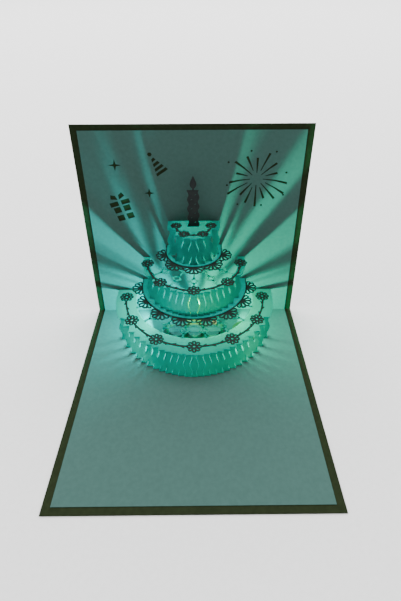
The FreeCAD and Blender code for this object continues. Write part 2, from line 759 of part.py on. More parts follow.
def led_strip():
    """Flexible film from the board to the fold and up the standing panel."""
    lying = box(STRIP_WIDTH, BOARD_FORWARD, STRIP_FILM, 0, 0, 0)
    standing = box(STRIP_WIDTH, STRIP_FILM, STRIP_RISE, 0, 0, 0)
    bent = fuse([lying, standing])
    corner = [e for e in bent.Edges
              if e.BoundBox.YMin > -STRIP_FILM / 2 and e.BoundBox.ZMax < STRIP_FILM / 2]
    return bent.makeChamfer(LINING_FOLD_RADIUS - LINING_THICKNESS, corner)


def led(side):
    """Square LED with a bevelled face, on the strip's standing end."""
    body = box(LED_WIDTH, LED_DEPTH, LED_HEIGHT, side * LED_X, STRIP_FILM, LED_Z - LED_HEIGHT / 2)
    front = [e for e in body.Edges if e.BoundBox.YMax < -STRIP_FILM - LED_DEPTH / 2]
    return body.makeChamfer(LED_BEVEL, front)


def speaker():
    """Thin piezo sounder disc, lying on the lining beside the board."""
    return Part.makeCylinder(SPEAKER_RADIUS, SPEAKER_HEIGHT, vec(SPEAKER_X, -SPEAKER_FORWARD, 0))


def all_nodes():
    nodes = {
        "cover": cover(),
        "lining": lining(),
        "bottom_tier": bottom_tier(),
        "middle_tier": middle_tier(),
        "top_tier": top_tier(),
        "middle_collar": collar(MIDDLE, MIDDLE_COLLAR_FANS, MIDDLE_FAN_STEP),
        "top_collar": collar(TOP, TOP_COLLAR_FANS, TOP_FAN_STEP),
        "bottom_garland": garland(BOTTOM, BOTTOM_GARLAND_RADIUS, BOTTOM_FLOWERS,
                                  BOTTOM_FLOWER_STEP, BOTTOM_FLOWER_RADIUS),
        "middle_garland": garland(MIDDLE, MIDDLE_GARLAND_RADIUS, MIDDLE_FLOWERS,
                                  MIDDLE_FLOWER_STEP, MIDDLE_FLOWER_RADIUS),
        "top_garland": garland(TOP, TOP_GARLAND_RADIUS, TOP_FLOWERS,
                               TOP_FLOWER_STEP, TOP_FLOWER_RADIUS),
        "candle": candle(),
        "circuit_board": circuit_board(),
        "battery_clip": battery_clip(),
        "sound_chip": sound_chip(),
        "contact_leaf": contact_leaf(),
        "led_strip": led_strip(),
        "led_left": led(-1),
        "led_right": led(1),
        "speaker": speaker(),
    }
    for number, x in enumerate((-CELL_SPACING, 0.0, CELL_SPACING), start=1):
        nodes["button_cell_%d" % number] = button_cell(x)
    return nodes


os.makedirs("parts", exist_ok=True)
for name, shape in all_nodes().items():
    solids = shape.Solids
    solid = solids[0] if len(solids) == 1 else Part.makeCompound(solids)
    solid.translate(vec(0, FOLD_FACE_Y, BASE_FACE_Z))
    box_size = solid.BoundBox
    print("%-16s solids %d valid %s  x %.1f..%.1f  y %.1f..%.1f  z %.1f..%.1f  volume %.1f" % (
        name, len(solids), solid.isValid(), box_size.XMin, box_size.XMax, box_size.YMin,
        box_size.YMax, box_size.ZMin, box_size.ZMax, solid.Volume))
    solid.exportStep("parts/%s.step" % name)
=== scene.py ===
from dataclasses import dataclass
import json
import math

import bmesh
import bpy
from mathutils import Matrix, Vector
from mathutils.geometry import tessellate_polygon

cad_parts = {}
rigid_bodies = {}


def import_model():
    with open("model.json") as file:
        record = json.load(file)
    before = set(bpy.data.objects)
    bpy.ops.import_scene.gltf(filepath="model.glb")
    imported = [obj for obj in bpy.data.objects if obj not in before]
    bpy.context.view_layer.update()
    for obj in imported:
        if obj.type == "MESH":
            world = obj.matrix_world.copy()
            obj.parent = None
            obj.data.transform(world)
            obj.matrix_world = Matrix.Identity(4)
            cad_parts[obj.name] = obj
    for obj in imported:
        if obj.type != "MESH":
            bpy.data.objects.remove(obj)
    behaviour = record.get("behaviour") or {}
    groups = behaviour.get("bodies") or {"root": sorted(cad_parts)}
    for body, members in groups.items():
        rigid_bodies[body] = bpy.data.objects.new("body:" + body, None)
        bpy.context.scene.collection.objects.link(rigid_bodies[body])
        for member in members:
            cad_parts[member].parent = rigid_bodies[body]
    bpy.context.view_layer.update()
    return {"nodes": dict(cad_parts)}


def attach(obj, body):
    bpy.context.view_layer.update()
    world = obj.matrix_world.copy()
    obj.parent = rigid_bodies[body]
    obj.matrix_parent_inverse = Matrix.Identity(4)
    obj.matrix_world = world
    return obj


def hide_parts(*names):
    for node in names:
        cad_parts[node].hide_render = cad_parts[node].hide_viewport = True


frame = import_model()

# Every piece is drawn about the fold, in millimetres: x to the right, y back towards the
# standing panel (so forward is -y) and z up from the face of the lining.
MM = 0.001
FOLD_FACE_Y = 74.1
BASE_FACE_Z = 0.8

# Sheets
TIER_SHEET = 0.35
LACE_SHEET = 0.3
SLIT = 0.35

# Tiers
TIER_HEIGHT = 20.2
TIER_GAP = 10.2
FOOT_TAB = 2.6
FLOOR_LIP = 1.3
WAVE_POINTS = 22
ARC_STEP_DEG = 2.5
BRIDGE_WIDTH = 1.4
PENDANT_STEM = 1.3
PENDANT_STEM_LENGTH = 5.0
PENDANT_FRAME = 7.6
PENDANT_FRAME_WIDTH = 1.3
PENDANT_SEAT = 0.6

# Lace collars
COLLAR_GLUE_BAND = 2.0
COLLAR_LINE = 0.8
FAN_RADIUS = 7.6
FAN_PETALS = 6
PETAL_OUTLINE = [(-0.5, 0.84), (-0.4, 0.93), (-0.24, 0.985), (0.0, 1.0), (0.24, 0.985), (0.4, 0.93)]
PETAL_HOLE = [(0.0, 0.32), (0.14, 0.48), (0.25, 0.66), (0.25, 0.78), (0.14, 0.86), (0.0, 0.885),
              (-0.14, 0.86), (-0.25, 0.78), (-0.25, 0.66), (-0.14, 0.48)]

# Garlands
FLOWER_PETALS = 8
FLOWER_NOTCH = 0.74
FLOWER_EYE = 0.17
# Start, end and half width of a petal's hole, as shares of the flower's radius
FLOWER_HOLE = (0.44, 0.84, 0.088)
PETAL_POINTS = 8
EYE_POINTS = 8
HOLE_POINTS = 6
STEM_WIDTH = 1.25
# How far in a stem starts, as a share of what it joins
STEM_OVERLAP = 0.86
LEAF_REACH = 1.2
LEAF_PITCH = 5.2
# Where a leaf starts, points and ends, as shares of its pitch
LEAF_START = 0.22
LEAF_TIP = 0.7
LEAF_END = 0.66

# Candle
CANDLE_SHEET = 0.4
CANDLE_FORWARD = 8.0
CANDLE_WIDTH = 7.2
CANDLE_HEIGHT = 27.2
CANDLE_TWISTS = 4
CANDLE_STEPS = 48
CANDLE_BULGE = 0.5
CANDLE_FOOT = 5.0
CANDLE_SLIT_LENGTH = 1.8
CANDLE_SLIT_WIDTH = 0.5
CANDLE_SLIT_TILT = 35.0
CANDLE_SLIT_OFFSET = 1.26
FLAME_HEIGHT = 9.0
FLAME_WIDTH = 4.4
WICK_WIDTH = 1.2
WICK_HEIGHT = 1.2
# Right side of the flame, from wick to point, as shares of its half width and height
FLAME_SIDE = [(0.62, 0.08), (0.9, 0.2), (1.0, 0.35), (0.82, 0.52), (0.46, 0.74), (0.16, 0.9)]

# A tier's papers, in the order of its material slots
WALL, PLATE, FLOOR = range(3)

# Textures: features per metre, and the heights of fine relief in metres
PAPER_MOTTLE = 420
PAPER_FIBRE = 2600
METAL_GRAIN = 900
PLASTIC_GRAIN = 700
LENS_GRAIN = 600
FIBRE_HEIGHT = 0.00005
GRAIN_HEIGHT = 0.00003
PLAIN_SPECULAR = 0.5

# Eased edges of carried-over solids
EASED_ANGLE_DEG = 40
EASED_SEGMENTS = 3


@dataclass
class Tier:
    """One storey of the cake, drawn with the same rules as its solid but with smooth waves."""

    name: str
    radius: float
    setback: float
    floor_z: float
    centre: float
    pitch: float
    side_strips: int
    wave: float
    wave_count: float
    wave_peak: float

    @property
    def top_z(self):
        return self.floor_z + TIER_HEIGHT

    def numbers(self):
        return range(-self.side_strips, self.side_strips + 1)

    def strip_span(self, k):
        """Left and right cut lines of strip k, counted from the middle one."""
        if k == 0:
            return (-self.centre / 2, self.centre / 2)
        inner = self.centre / 2 + (abs(k) - 1) * self.pitch
        outer = inner + self.pitch
        return (inner, outer) if k > 0 else (-outer, -inner)

    def depth(self, k):
        """How far forward strip k stands: its outer corner is on the tier's circle."""
        corner = max(abs(x) for x in self.strip_span(k))
        return self.setback + math.sqrt(self.radius ** 2 - corner ** 2)

    def sway(self, share):
        return self.wave * math.cos(2 * math.pi * self.wave_count * (share - self.wave_peak))

    def strip_outline(self, k):
        """Outline of strip k in (x, height), from just under the plate to the floor."""
        left, right = self.strip_span(k)
        left_side = -1 if k <= 0 else 1
        right_side = 1 if k >= 0 else -1
        drop = TIER_SHEET / TIER_HEIGHT
        down, up = [], []
        for i in range(WAVE_POINTS + 1):
            share = drop + (1 - drop) * i / WAVE_POINTS
            height = self.top_z - share * TIER_HEIGHT
            down.append((left + SLIT / 2 + left_side * self.sway(share), height))
            up.append((right - SLIT / 2 + right_side * self.sway(share), height))
        return down + up[::-1]

    def plate_outline(self, band):
        """D shape whose front edge is the stair of strips, on a band open in its middle."""
        corner = self.strip_span(self.side_strips)[1]
        end = math.degrees(math.asin(corner / self.radius))
        stair = []
        for k in self.numbers():
            left, right = self.strip_span(k)
            stair += [(left, -self.depth(k)), (right, -self.depth(k))]
        points = [(-self.radius, 0)] + arc(self.radius, self.setback, -90, -end)[:-1]
        points += stair + arc(self.radius, self.setback, end, 90)[1:] + [(self.radius, 0)]
        if band:
            points += inner_edge(self.radius - band, self.setback)
        return points


def ring_point(radius, setback, angle_deg):
    """Point at an angle from straight forward on a circle centred in front of the panel."""
    a = math.radians(angle_deg)
    return (radius * math.sin(a), -setback - radius * math.cos(a))


def arc(radius, setback, start_deg, end_deg):
    count = max(2, math.ceil(abs(end_deg - start_deg) / ARC_STEP_DEG))
    step = (end_deg - start_deg) / count
    return [ring_point(radius, setback, start_deg + i * step) for i in range(count + 1)]


def rectangle(left, right, low, high):
    return [(left, low), (right, low), (right, high), (left, high)]


def turned(points, centre, angle_deg):
    """Points turned about the origin by an angle and moved to a centre."""
    c, s = math.cos(math.radians(angle_deg)), math.sin(math.radians(angle_deg))
    return [(centre[0] + x * c - y * s, centre[1] + x * s + y * c) for x, y in points]


def row_point(x, y, z):
    """A point drawn about the fold, as metres in the row's frame."""
    return Vector((x * MM, (FOLD_FACE_Y + y) * MM, (BASE_FACE_Z + z) * MM))


def lying(z, thickness):
    """Places a flat sheet drawn in (x, y), its underside at height z."""
    return lambda u, v, side: row_point(u, v, z + side * thickness)


def standing(forward, thickness):
    """Places a sheet drawn in (x, height), its front face at the given distance forward."""
    return lambda u, v, side: row_point(u, -forward + side * thickness, v)


def slab(mesh, loops, place, material_index=0):
    """Adds a closed sheet bounded by the first loop and pierced by the others."""
    triangles = tessellate_polygon([[Vector((u, v, 0)) for u, v in loop] for loop in loops])
    points = [point for loop in loops for point in loop]
    near, far = ([mesh.verts.new(place(u, v, side)) for u, v in points] for side in (0, 1))
    faces = []
    for a, b, c in triangles:
        faces.append(mesh.faces.new((near[a], near[b], near[c])))
        faces.append(mesh.faces.new((far[c], far[b], far[a])))
    start = 0
    for loop in loops:
        for i in range(len(loop)):
            a, b = start + i, start + (i + 1) % len(loop)
            faces.append(mesh.faces.new((near[a], near[b], far[b], far[a])))
        start += len(loop)
    for face in faces:
        face.material_index = material_index


def finish_piece(mesh, name, node, slot, *materials):
    """Makes an object of a mesh, standing for a node and riding on the card."""
    bmesh.ops.recalc_face_normals(mesh, faces=mesh.faces)
    data = bpy.data.meshes.new(name)
    mesh.to_mesh(data)
    mesh.free()
    piece = bpy.data.objects.new(name, data)
    bpy.context.scene.collection.objects.link(piece)
    for material in materials:
        data.materials.append(material)
    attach(piece, "root")
    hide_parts(node)


def inner_edge(radius, setback):
    """Inner edge of a band, back from its right end at the standing panel to its left one."""
    return [(radius, 0)] + arc(radius, setback, 90, -90) + [(-radius, 0)]


def horseshoe(outer, inner, setback):
    """Band between two D shapes, open at the standing panel."""
    outside = [(-outer, 0)] + arc(outer, setback, -90, 90) + [(outer, 0)]
    return outside + inner_edge(inner, setback)


def add_window_ornaments(mesh, tier, band, radius, count, step, place):
    """Bow across the open middle, joined to the plate's rim by lozenge frames on stems."""
    half_width = BRIDGE_WIDTH / 2
    slab(mesh, [horseshoe(radius + half_width, radius - half_width, tier.setback)], place)
    half = PENDANT_FRAME / 2
    middle = -PENDANT_STEM_LENGTH - half
    stem_half = PENDANT_STEM / 2
    edge = half - PENDANT_FRAME_WIDTH
    rim = band - tier.radius + radius - PENDANT_SEAT
    for i in range(count):
        angle = (i - (count - 1) / 2) * step
        root = ring_point(radius, tier.setback, angle)
        loops = []
        for reach in (half, half - PENDANT_FRAME_WIDTH * math.sqrt(2)):
            lozenge = [(0, middle - reach), (reach, middle), (0, middle + reach), (-reach, middle)]
            loops.append(turned(lozenge, root, angle))
        slab(mesh, loops, place)
        for near, far in ((-half_width * STEM_OVERLAP, middle + edge), (middle - edge, rim)):
            stem = rectangle(-stem_half, stem_half, near, far)
            slab(mesh, [turned(stem, root, angle)], place)


def make_tier(tier, papers, band=0.0, ornaments=None, feet=False, floor_band=0.0):
    """Plate, strips and whatever else is cut from one tier's sheet, in its three papers; the
    floor's paper is the same card painted brighter as painted light.
    """
    mesh = bmesh.new()
    top_place = lying(tier.top_z - TIER_SHEET, TIER_SHEET)
    slab(mesh, [tier.plate_outline(band)], top_place, PLATE)
    if ornaments:
        add_window_ornaments(mesh, tier, band, *ornaments, top_place)
    floor_place = lying(tier.floor_z, TIER_SHEET)
    for k in tier.numbers():
        slab(mesh, [tier.strip_outline(k)], standing(tier.depth(k), TIER_SHEET), WALL)
        if feet:
            left, right = tier.strip_span(k)
            shift = math.copysign(tier.sway(1.0), k) if k else 0.0
            left, right = left + SLIT / 2 + shift, right - SLIT / 2 + shift
            front = TIER_SHEET - tier.depth(k)
            slab(mesh, [rectangle(left, right, front, front + FOOT_TAB)], floor_place, WALL)
    if floor_band:
        rim = tier.radius + FLOOR_LIP
        slab(mesh, [horseshoe(rim, rim - floor_band, tier.setback)], floor_place, FLOOR)
    finish_piece(mesh, tier.name + "_sheet", tier.name, "tier_paper", *papers)


def fan_loops(root, angle_deg):
    """Outline and petal holes of one half-round lace fan."""
    step = 180.0 / FAN_PETALS
    outline, holes = [], []
    for i in range(FAN_PETALS):
        turn = -90 + (i + 0.5) * step
        outline += [ring_point(FAN_RADIUS * reach, 0, turn + share * step)
                    for share, reach in PETAL_OUTLINE]
        hole = [ring_point(FAN_RADIUS * reach, 0, turn + share * step)
                for share, reach in PETAL_HOLE]
        holes.append(turned(hole, root, angle_deg))
    outline.append(ring_point(FAN_RADIUS * PETAL_OUTLINE[0][1], 0, 90))
    return [turned(outline, root, angle_deg)] + holes


def make_collar(name, tier, fans, fan_step, material):
    """Ring line under a tier's floor, edged with fans and cut off at the panel."""
    mesh = bmesh.new()
    rim = tier.radius + FLOOR_LIP
    line = rim + COLLAR_LINE
    place = lying(tier.floor_z - LACE_SHEET, LACE_SHEET)
    for i in range(fans):
        angle = (i - (fans - 1) / 2) * fan_step
        slab(mesh, fan_loops(ring_point(line - COLLAR_LINE / 2, tier.setback, angle), angle), place)
    everything = mesh.verts[:] + mesh.edges[:] + mesh.faces[:]
    cut = bmesh.ops.bisect_plane(mesh, geom=everything, plane_co=row_point(0, 0, 0),
                                 plane_no=(0, 1, 0), clear_outer=True)
    edges = [e for e in cut["geom_cut"] if isinstance(e, bmesh.types.BMEdge)]
    bmesh.ops.holes_fill(mesh, edges=edges)
    slab(mesh, [horseshoe(line, rim - COLLAR_GLUE_BAND, tier.setback)], place)
    finish_piece(mesh, name + "_lace", name, "lace_paper", material)


def flower_loops(centre, radius):
    """Outline, eye and petal holes of one eight-petalled flower."""
    step = 360.0 / FLOWER_PETALS
    outline = []
    for i in range(FLOWER_PETALS * PETAL_POINTS):
        angle = i * step / PETAL_POINTS
        lobe = math.sqrt(abs(math.cos(math.radians(180.0 * angle / step))))
        reach = radius * (FLOWER_NOTCH + (1 - FLOWER_NOTCH) * lobe)
        outline.append(ring_point(reach, 0, angle))
    eye = [ring_point(radius * FLOWER_EYE, 0, 360 / EYE_POINTS * i) for i in range(EYE_POINTS)]
    near, far, half_width = (share * radius for share in FLOWER_HOLE)
    hole = []
    for i in range(HOLE_POINTS):
        around = math.radians(360 / HOLE_POINTS * i)
        hole.append((half_width * math.sin(around),
                     -(near + far) / 2 - (far - near) / 2 * math.cos(around)))
    holes = [turned(hole, (0, 0), i * step) for i in range(FLOWER_PETALS)]
    return [turned(loop, centre, 0) for loop in (outline, eye, *holes)]


def stem_outline(radius, setback, start_deg, end_deg, first_side):
    """Curved stem between two flowers, with pointed leaves that alternate from side to side."""
    count = max(1, round(math.radians(end_deg - start_deg) * radius / LEAF_PITCH))
    step = (end_deg - start_deg) / count
    half = STEM_WIDTH / 2
    outer, inner = [], []
    for i in range(count):
        angle = start_deg + i * step
        leaf_side = first_side * (-1) ** i
        for points, side in ((outer, 1), (inner, -1)):
            edge = radius + side * half
            points.append(ring_point(edge, setback, angle))
            if side == leaf_side:
                tip = edge + side * LEAF_REACH
                points.append(ring_point(edge, setback, angle + LEAF_START * step))
                points.append(ring_point(tip, setback, angle + LEAF_TIP * step))
                points.append(ring_point(edge, setback, angle + LEAF_END * step))
            else:
                points.append(ring_point(edge, setback, angle + step / 2))
    outer.append(ring_point(radius + half, setback, end_deg))
    inner.append(ring_point(radius - half, setback, end_deg))
    return outer + inner[::-1]


def make_garland(name, tier, radius, flowers, flower_step, flower_radius, material):
    """Cut-out garland lying on a tier's top plate."""
    mesh = bmesh.new()
    place = lying(tier.top_z, LACE_SHEET)
    half = (flowers - 1) / 2 * flower_step
    inset = math.degrees(flower_radius * STEM_OVERLAP / radius)
    for i in range(flowers):
        angle = -half + i * flower_step
        centre = ring_point(radius, tier.setback, angle)
        slab(mesh, flower_loops(centre, flower_radius), place)
        if i + 1 < flowers:
            side = 1 if angle + flower_step / 2 < 0 else -1
            slab(mesh, [stem_outline(radius, tier.setback, angle + inset,
                                     angle + flower_step - inset, side)], place)
    finish_piece(mesh, name + "_lace", name, "lace_paper", material)


def make_candle(tier, material):
    """Twisted candle and flame cut from one flat sheet, with a foot turned back onto the plate."""
    mesh = bmesh.new()
    half = CANDLE_WIDTH / 2
    left, right = [], []
    for i in range(CANDLE_STEPS + 1):
        share = i / CANDLE_STEPS
        phase = 2 * math.pi * CANDLE_TWISTS * share
        left.append((-half - CANDLE_BULGE * math.cos(phase), share * CANDLE_HEIGHT))
        right.append((half + CANDLE_BULGE * math.sin(phase), share * CANDLE_HEIGHT))
    wick_top = CANDLE_HEIGHT + WICK_HEIGHT
    flame = [(WICK_WIDTH / 2, CANDLE_HEIGHT), (WICK_WIDTH / 2, wick_top)]
    flame += [(x * FLAME_WIDTH / 2, wick_top + y * FLAME_HEIGHT) for x, y in FLAME_SIDE]
    flame += [(0, wick_top + FLAME_HEIGHT)]
    flame += [(-x * FLAME_WIDTH / 2, wick_top + y * FLAME_HEIGHT) for x, y in FLAME_SIDE[::-1]]
    flame += [(-WICK_WIDTH / 2, wick_top), (-WICK_WIDTH / 2, CANDLE_HEIGHT)]
    loops = [right + flame + left[::-1]]
    along, across = CANDLE_SLIT_LENGTH / 2, CANDLE_SLIT_WIDTH / 2
    slit = [(-along, 0), (-along / 2, -across), (along / 2, -across), (along, 0),
            (along / 2, across), (-along / 2, across)]
    for i in range(2 * CANDLE_TWISTS - 1):
        height = (i + 1) * CANDLE_HEIGHT / (2 * CANDLE_TWISTS)
        loops.append(turned(slit, (CANDLE_SLIT_OFFSET * (-1) ** i, height), CANDLE_SLIT_TILT))
    raised = [[(x, y + tier.top_z) for x, y in loop] for loop in loops]
    slab(mesh, raised, standing(CANDLE_FORWARD, CANDLE_SHEET))
    foot_half = half - CANDLE_BULGE
    front, back = CANDLE_SHEET - CANDLE_FORWARD, CANDLE_FOOT - CANDLE_FORWARD
    slab(mesh, [rectangle(-foot_half, foot_half, front, back)], lying(tier.top_z, CANDLE_SHEET))
    finish_piece(mesh, "candle_cut_out", "candle", "candle_card", material)


def nodes_of(material):
    tree = material.node_tree
    return tree.nodes, tree.links


def new_material(name, roughness, specular, metallic=0.0):
    material = bpy.data.materials.new(name)
    material.use_nodes = True
    shader = material.node_tree.nodes["Principled BSDF"]
    shader.inputs["Roughness"].default_value = roughness
    shader.inputs["Specular IOR Level"].default_value = specular
    shader.inputs["Metallic"].default_value = metallic
    return material, shader


def noise(material, scale, detail, stretch=(1, 1, 1)):
    """Noise in the object's own space, in features per metre."""
    nodes, links = nodes_of(material)
    place = nodes.new("ShaderNodeTexCoord")
    mapping = nodes.new("ShaderNodeMapping")
    mapping.inputs["Scale"].default_value = stretch
    texture = nodes.new("ShaderNodeTexNoise")
    texture.inputs["Scale"].default_value = scale
    texture.inputs["Detail"].default_value = detail
    links.new(place.outputs["Object"], mapping.inputs["Vector"])
    links.new(mapping.outputs["Vector"], texture.inputs["Vector"])
    return texture.outputs["Fac"]


def ramp(material, value, dark, light):
    """Colour that runs from dark to light over the middle of a value's range."""
    nodes, links = nodes_of(material)
    node = nodes.new("ShaderNodeValToRGB")
    for stop, place, colour in zip(node.color_ramp.elements, (0.3, 0.7), (dark, light)):
        stop.position = place
        stop.color = (*colour, 1)
    links.new(value, node.inputs["Fac"])
    return node.outputs["Color"]


def bump(material, shader, value, distance, strength=0.5):
    nodes, links = nodes_of(material)
    node = nodes.new("ShaderNodeBump")
    node.inputs["Distance"].default_value = distance
    node.inputs["Strength"].default_value = strength
    links.new(value, node.inputs["Height"])
    links.new(node.outputs["Normal"], shader.inputs["Normal"])
    return node.outputs["Normal"]


def paper(name, dark, light, roughness, specular, through=0.0, through_colour=None):
    """Card stock with a mottled colour and fine fibres, and where asked, light passing through."""
    material, shader = new_material(name, roughness, specular)
    nodes, links = nodes_of(material)
    mottle = noise(material, PAPER_MOTTLE, 5)
    links.new(ramp(material, mottle, dark, light), shader.inputs["Base Color"])
    normal = bump(material, shader, noise(material, PAPER_FIBRE, 4), FIBRE_HEIGHT)
    if through:
        glow = nodes.new("ShaderNodeBsdfTranslucent")
        glow.inputs["Color"].default_value = (*through_colour, 1)
        links.new(normal, glow.inputs["Normal"])
        mix = nodes.new("ShaderNodeMixShader")
        mix.inputs["Fac"].default_value = through
        links.new(shader.outputs["BSDF"], mix.inputs[1])
        links.new(glow.outputs["BSDF"], mix.inputs[2])
        links.new(mix.outputs["Shader"], nodes["Material Output"].inputs["Surface"])
    return material


def tier_paper(name, through):
    """The tiers' card, which passes a share of the light inside the cake."""
    return paper(name, *TIER_SHADES, TIER_ROUGHNESS, TIER_SPECULAR, through, TIER_GLOW)


def metal(name, dark, light, roughness, stretch=(1, 1, 1)):
    """Metal with a fine grain in its colour and surface."""
    material, shader = new_material(name, roughness, PLAIN_SPECULAR, 1.0)
    grain = noise(material, METAL_GRAIN, 4, stretch)
    material.node_tree.links.new(ramp(material, grain, dark, light), shader.inputs["Base Color"])
    bump(material, shader, grain, GRAIN_HEIGHT, 0.3)
    return material


def plastic(name, dark, light, roughness):
    """Board, chip or film with a fine grain in its colour and surface."""
    material, shader = new_material(name, roughness, PLAIN_SPECULAR)
    grain = noise(material, PLASTIC_GRAIN, 3)
    material.node_tree.links.new(ramp(material, grain, dark, light), shader.inputs["Base Color"])
    bump(material, shader, grain, GRAIN_HEIGHT, 0.4)
    return material


def lit(name, colour):
    """Moulded LED whose lens gives light."""
    material, shader = new_material(name, 0.2, PLAIN_SPECULAR)
    grain = noise(material, LENS_GRAIN, 2)
    pale = tuple(0.4 + 0.6 * c for c in colour)
    material.node_tree.links.new(ramp(material, grain, colour, pale), shader.inputs["Base Color"])
    shader.inputs["Emission Color"].default_value = (*colour, 1)
    shader.inputs["Emission Strength"].default_value = LENS_STRENGTH
    return material


def dress(node, material):
    """Gives a carried-over solid its material."""
    piece = frame["nodes"][node]
    piece.data.materials.clear()
    piece.data.materials.append(material)


def soften(node, width):
    """Eases the edges of a carried-over solid."""
    bevel = frame["nodes"][node].modifiers.new("eased", "BEVEL")
    bevel.width = width * MM
    bevel.segments = EASED_SEGMENTS
    bevel.limit_method = "ANGLE"
    bevel.angle_limit = math.radians(EASED_ANGLE_DEG)


# Materials
cover_card = paper("cover_card", (0.011, 0.017, 0.006), (0.016, 0.023, 0.009), 0.85, 0.08)
lining_paper = paper("lining_paper", (0.046, 0.098, 0.087), (0.052, 0.110, 0.097), 0.9, 0.06)
TIER_SHADES = ((0.002, 0.135, 0.115), (0.004, 0.160, 0.138))
TIER_GLOW = (0.0, 0.95, 0.80)
TIER_ROUGHNESS = 0.85
TIER_SPECULAR = 0.02
bottom_wall = tier_paper("bottom_wall", 0.145)
middle_wall = tier_paper("middle_wall", 0.2)
top_wall = tier_paper("top_wall", 0.22)
bottom_plate = tier_paper("bottom_plate", 0.26)
middle_plate = tier_paper("middle_plate", 0.18)
top_plate = tier_paper("top_plate", 0.14)
# The floor bands' paper: the tiers' card painted twice as bright, as painted light standing for the
# glow inside the cake falling on the floors.
painted_lit_floor_paper = paper("painted_lit_floor_paper", (0.003, 0.270, 0.225), (0.005, 0.320, 0.270),
                    TIER_ROUGHNESS, TIER_SPECULAR)
lace_paper = paper("lace_paper", (0.006, 0.013, 0.011), (0.012, 0.024, 0.019), 0.7, 0.25)
candle_card = paper("candle_card", (0.004, 0.007, 0.007), (0.009, 0.014, 0.013), 0.65, 0.3)
board_green = plastic("board_green", (0.010, 0.085, 0.035), (0.020, 0.140, 0.060), 0.35)
chip_black = plastic("chip_black", (0.012, 0.012, 0.012), (0.030, 0.030, 0.030), 0.55)
cell_steel = metal("cell_steel", (0.30, 0.31, 0.32), (0.45, 0.46, 0.47), 0.4)
clip_steel = metal("clip_steel", (0.50, 0.51, 0.52), (0.72, 0.73, 0.74), 0.3, (0.1, 1, 1))
contact_brass = metal("contact_brass", (0.52, 0.34, 0.12), (0.78, 0.56, 0.25), 0.3)
film_amber = plastic("film_amber", (0.35, 0.16, 0.03), (0.55, 0.28, 0.06), 0.3)
sounder_brass = metal("sounder_brass", (0.55, 0.38, 0.15), (0.80, 0.60, 0.30), 0.35)
LENS_STRENGTH = 12.0
led_cyan = lit("led_cyan", (0.05, 1.0, 0.80))
led_green = lit("led_green", (0.05, 1.0, 0.42))

for node, material in (("cover", cover_card), ("lining", lining_paper),
                       ("circuit_board", board_green), ("sound_chip", chip_black),
                       ("battery_clip", clip_steel), ("contact_leaf", contact_brass),
                       ("led_strip", film_amber), ("speaker", sounder_brass),
                       ("led_left", led_cyan), ("led_right", led_green),
                       ("button_cell_1", cell_steel), ("button_cell_2", cell_steel),
                       ("button_cell_3", cell_steel)):
    dress(node, material)
CELL_EDGE = 0.35
for node in ("button_cell_1", "button_cell_2", "button_cell_3"):
    soften(node, CELL_EDGE)

# Paper pieces
STOREY = TIER_HEIGHT + TIER_GAP
bottom = Tier("bottom_tier", radius=58.5, setback=8.0, floor_z=0.0, centre=4.27, pitch=4.27,
              side_strips=12, wave=0.8, wave_count=1.45, wave_peak=0.44)
middle = Tier("middle_tier", radius=36.8, setback=5.6, floor_z=STOREY, centre=6.0, pitch=4.2,
              side_strips=7, wave=0.72, wave_count=1.25, wave_peak=0.5)
top = Tier("top_tier", radius=17.8, setback=7.7, floor_z=2 * STOREY, centre=4.9, pitch=4.9,
           side_strips=3, wave=0.85, wave_count=1.6, wave_peak=0.42)
# Ornaments: the radius of their bow, how many they are and the angle between them
BOTTOM_ORNAMENTS = (28.0, 8, 21.0)
MIDDLE_ORNAMENTS = (14.5, 5, 30.0)
make_tier(bottom, (bottom_wall, bottom_plate, painted_lit_floor_paper), band=15.0, ornaments=BOTTOM_ORNAMENTS,
          feet=True)
make_tier(middle, (middle_wall, middle_plate, painted_lit_floor_paper), band=5.0, ornaments=MIDDLE_ORNAMENTS,
          floor_band=4.6)
make_tier(top, (top_wall, top_plate, painted_lit_floor_paper), floor_band=2.2)
make_collar("middle_collar", middle, fans=8, fan_step=23.6, material=lace_paper)
make_collar("top_collar", top, fans=5, fan_step=38.0, material=lace_paper)
make_garland("bottom_garland", bottom, radius=51.0, flowers=7, flower_step=29.7, flower_radius=5.1,
             material=lace_paper)
make_garland("middle_garland", middle, radius=33.4, flowers=5, flower_step=42.9, flower_radius=4.7,
             material=lace_paper)
make_garland("top_garland", top, radius=11.9, flowers=4, flower_step=62.9, flower_radius=3.9,
             material=lace_paper)
make_candle(top, candle_card)

# Lamps that stand in for the LEDs' light inside the cake: small ones in rows forward from the LEDs,
# cyan to the left and greener to the right, and wide ones behind the bottom tier's strips
GLOW_LEFT = (0.0, 1.0, 1.0)
GLOW_RIGHT = (0.0, 1.0, 0.66)
# The colours' places along x, from a ray straight to the left to one straight to the right
SIDE_COLOURS = ((0.4, GLOW_LEFT), (0.6, GLOW_RIGHT))
GLOW_X = 1.2
GLOW_HEIGHT = 8.0
GLOW_ROWS = (12.0, 17.0, 22.0, 27.0)
GLOW_RADIUS = 2.5
GLOW_ENERGY = 78.0
WIDE_GLOW_HEIGHT = 9.0
WIDE_GLOW_SIZE = (36.0, 12.0)
# Each wide lamp's x, distance forward, turn from facing forward, colour and power
WIDE_GLOWS = (("wide_glow_left", -18.0, 34.0, 0.0, GLOW_LEFT, 0.08),
              ("wide_glow_right", 18.0, 34.0, 0.0, GLOW_RIGHT, 0.08),
              ("side_glow_left", -30.0, 22.0, -75.0, GLOW_LEFT, 0.12),
              ("side_glow_right", 30.0, 22.0, 75.0, GLOW_RIGHT, 0.07))
# The fades, by axis of the ray: where the light starts to grow, where it is full, its least share
FRONT_FADE = ("Y", -0.85, -0.4, 0.04)
RISE_FADE = ("Z", 0.25, 0.5, 0.0)
BELOW_FADE = ("Z", -0.8, -0.15, 0.12)
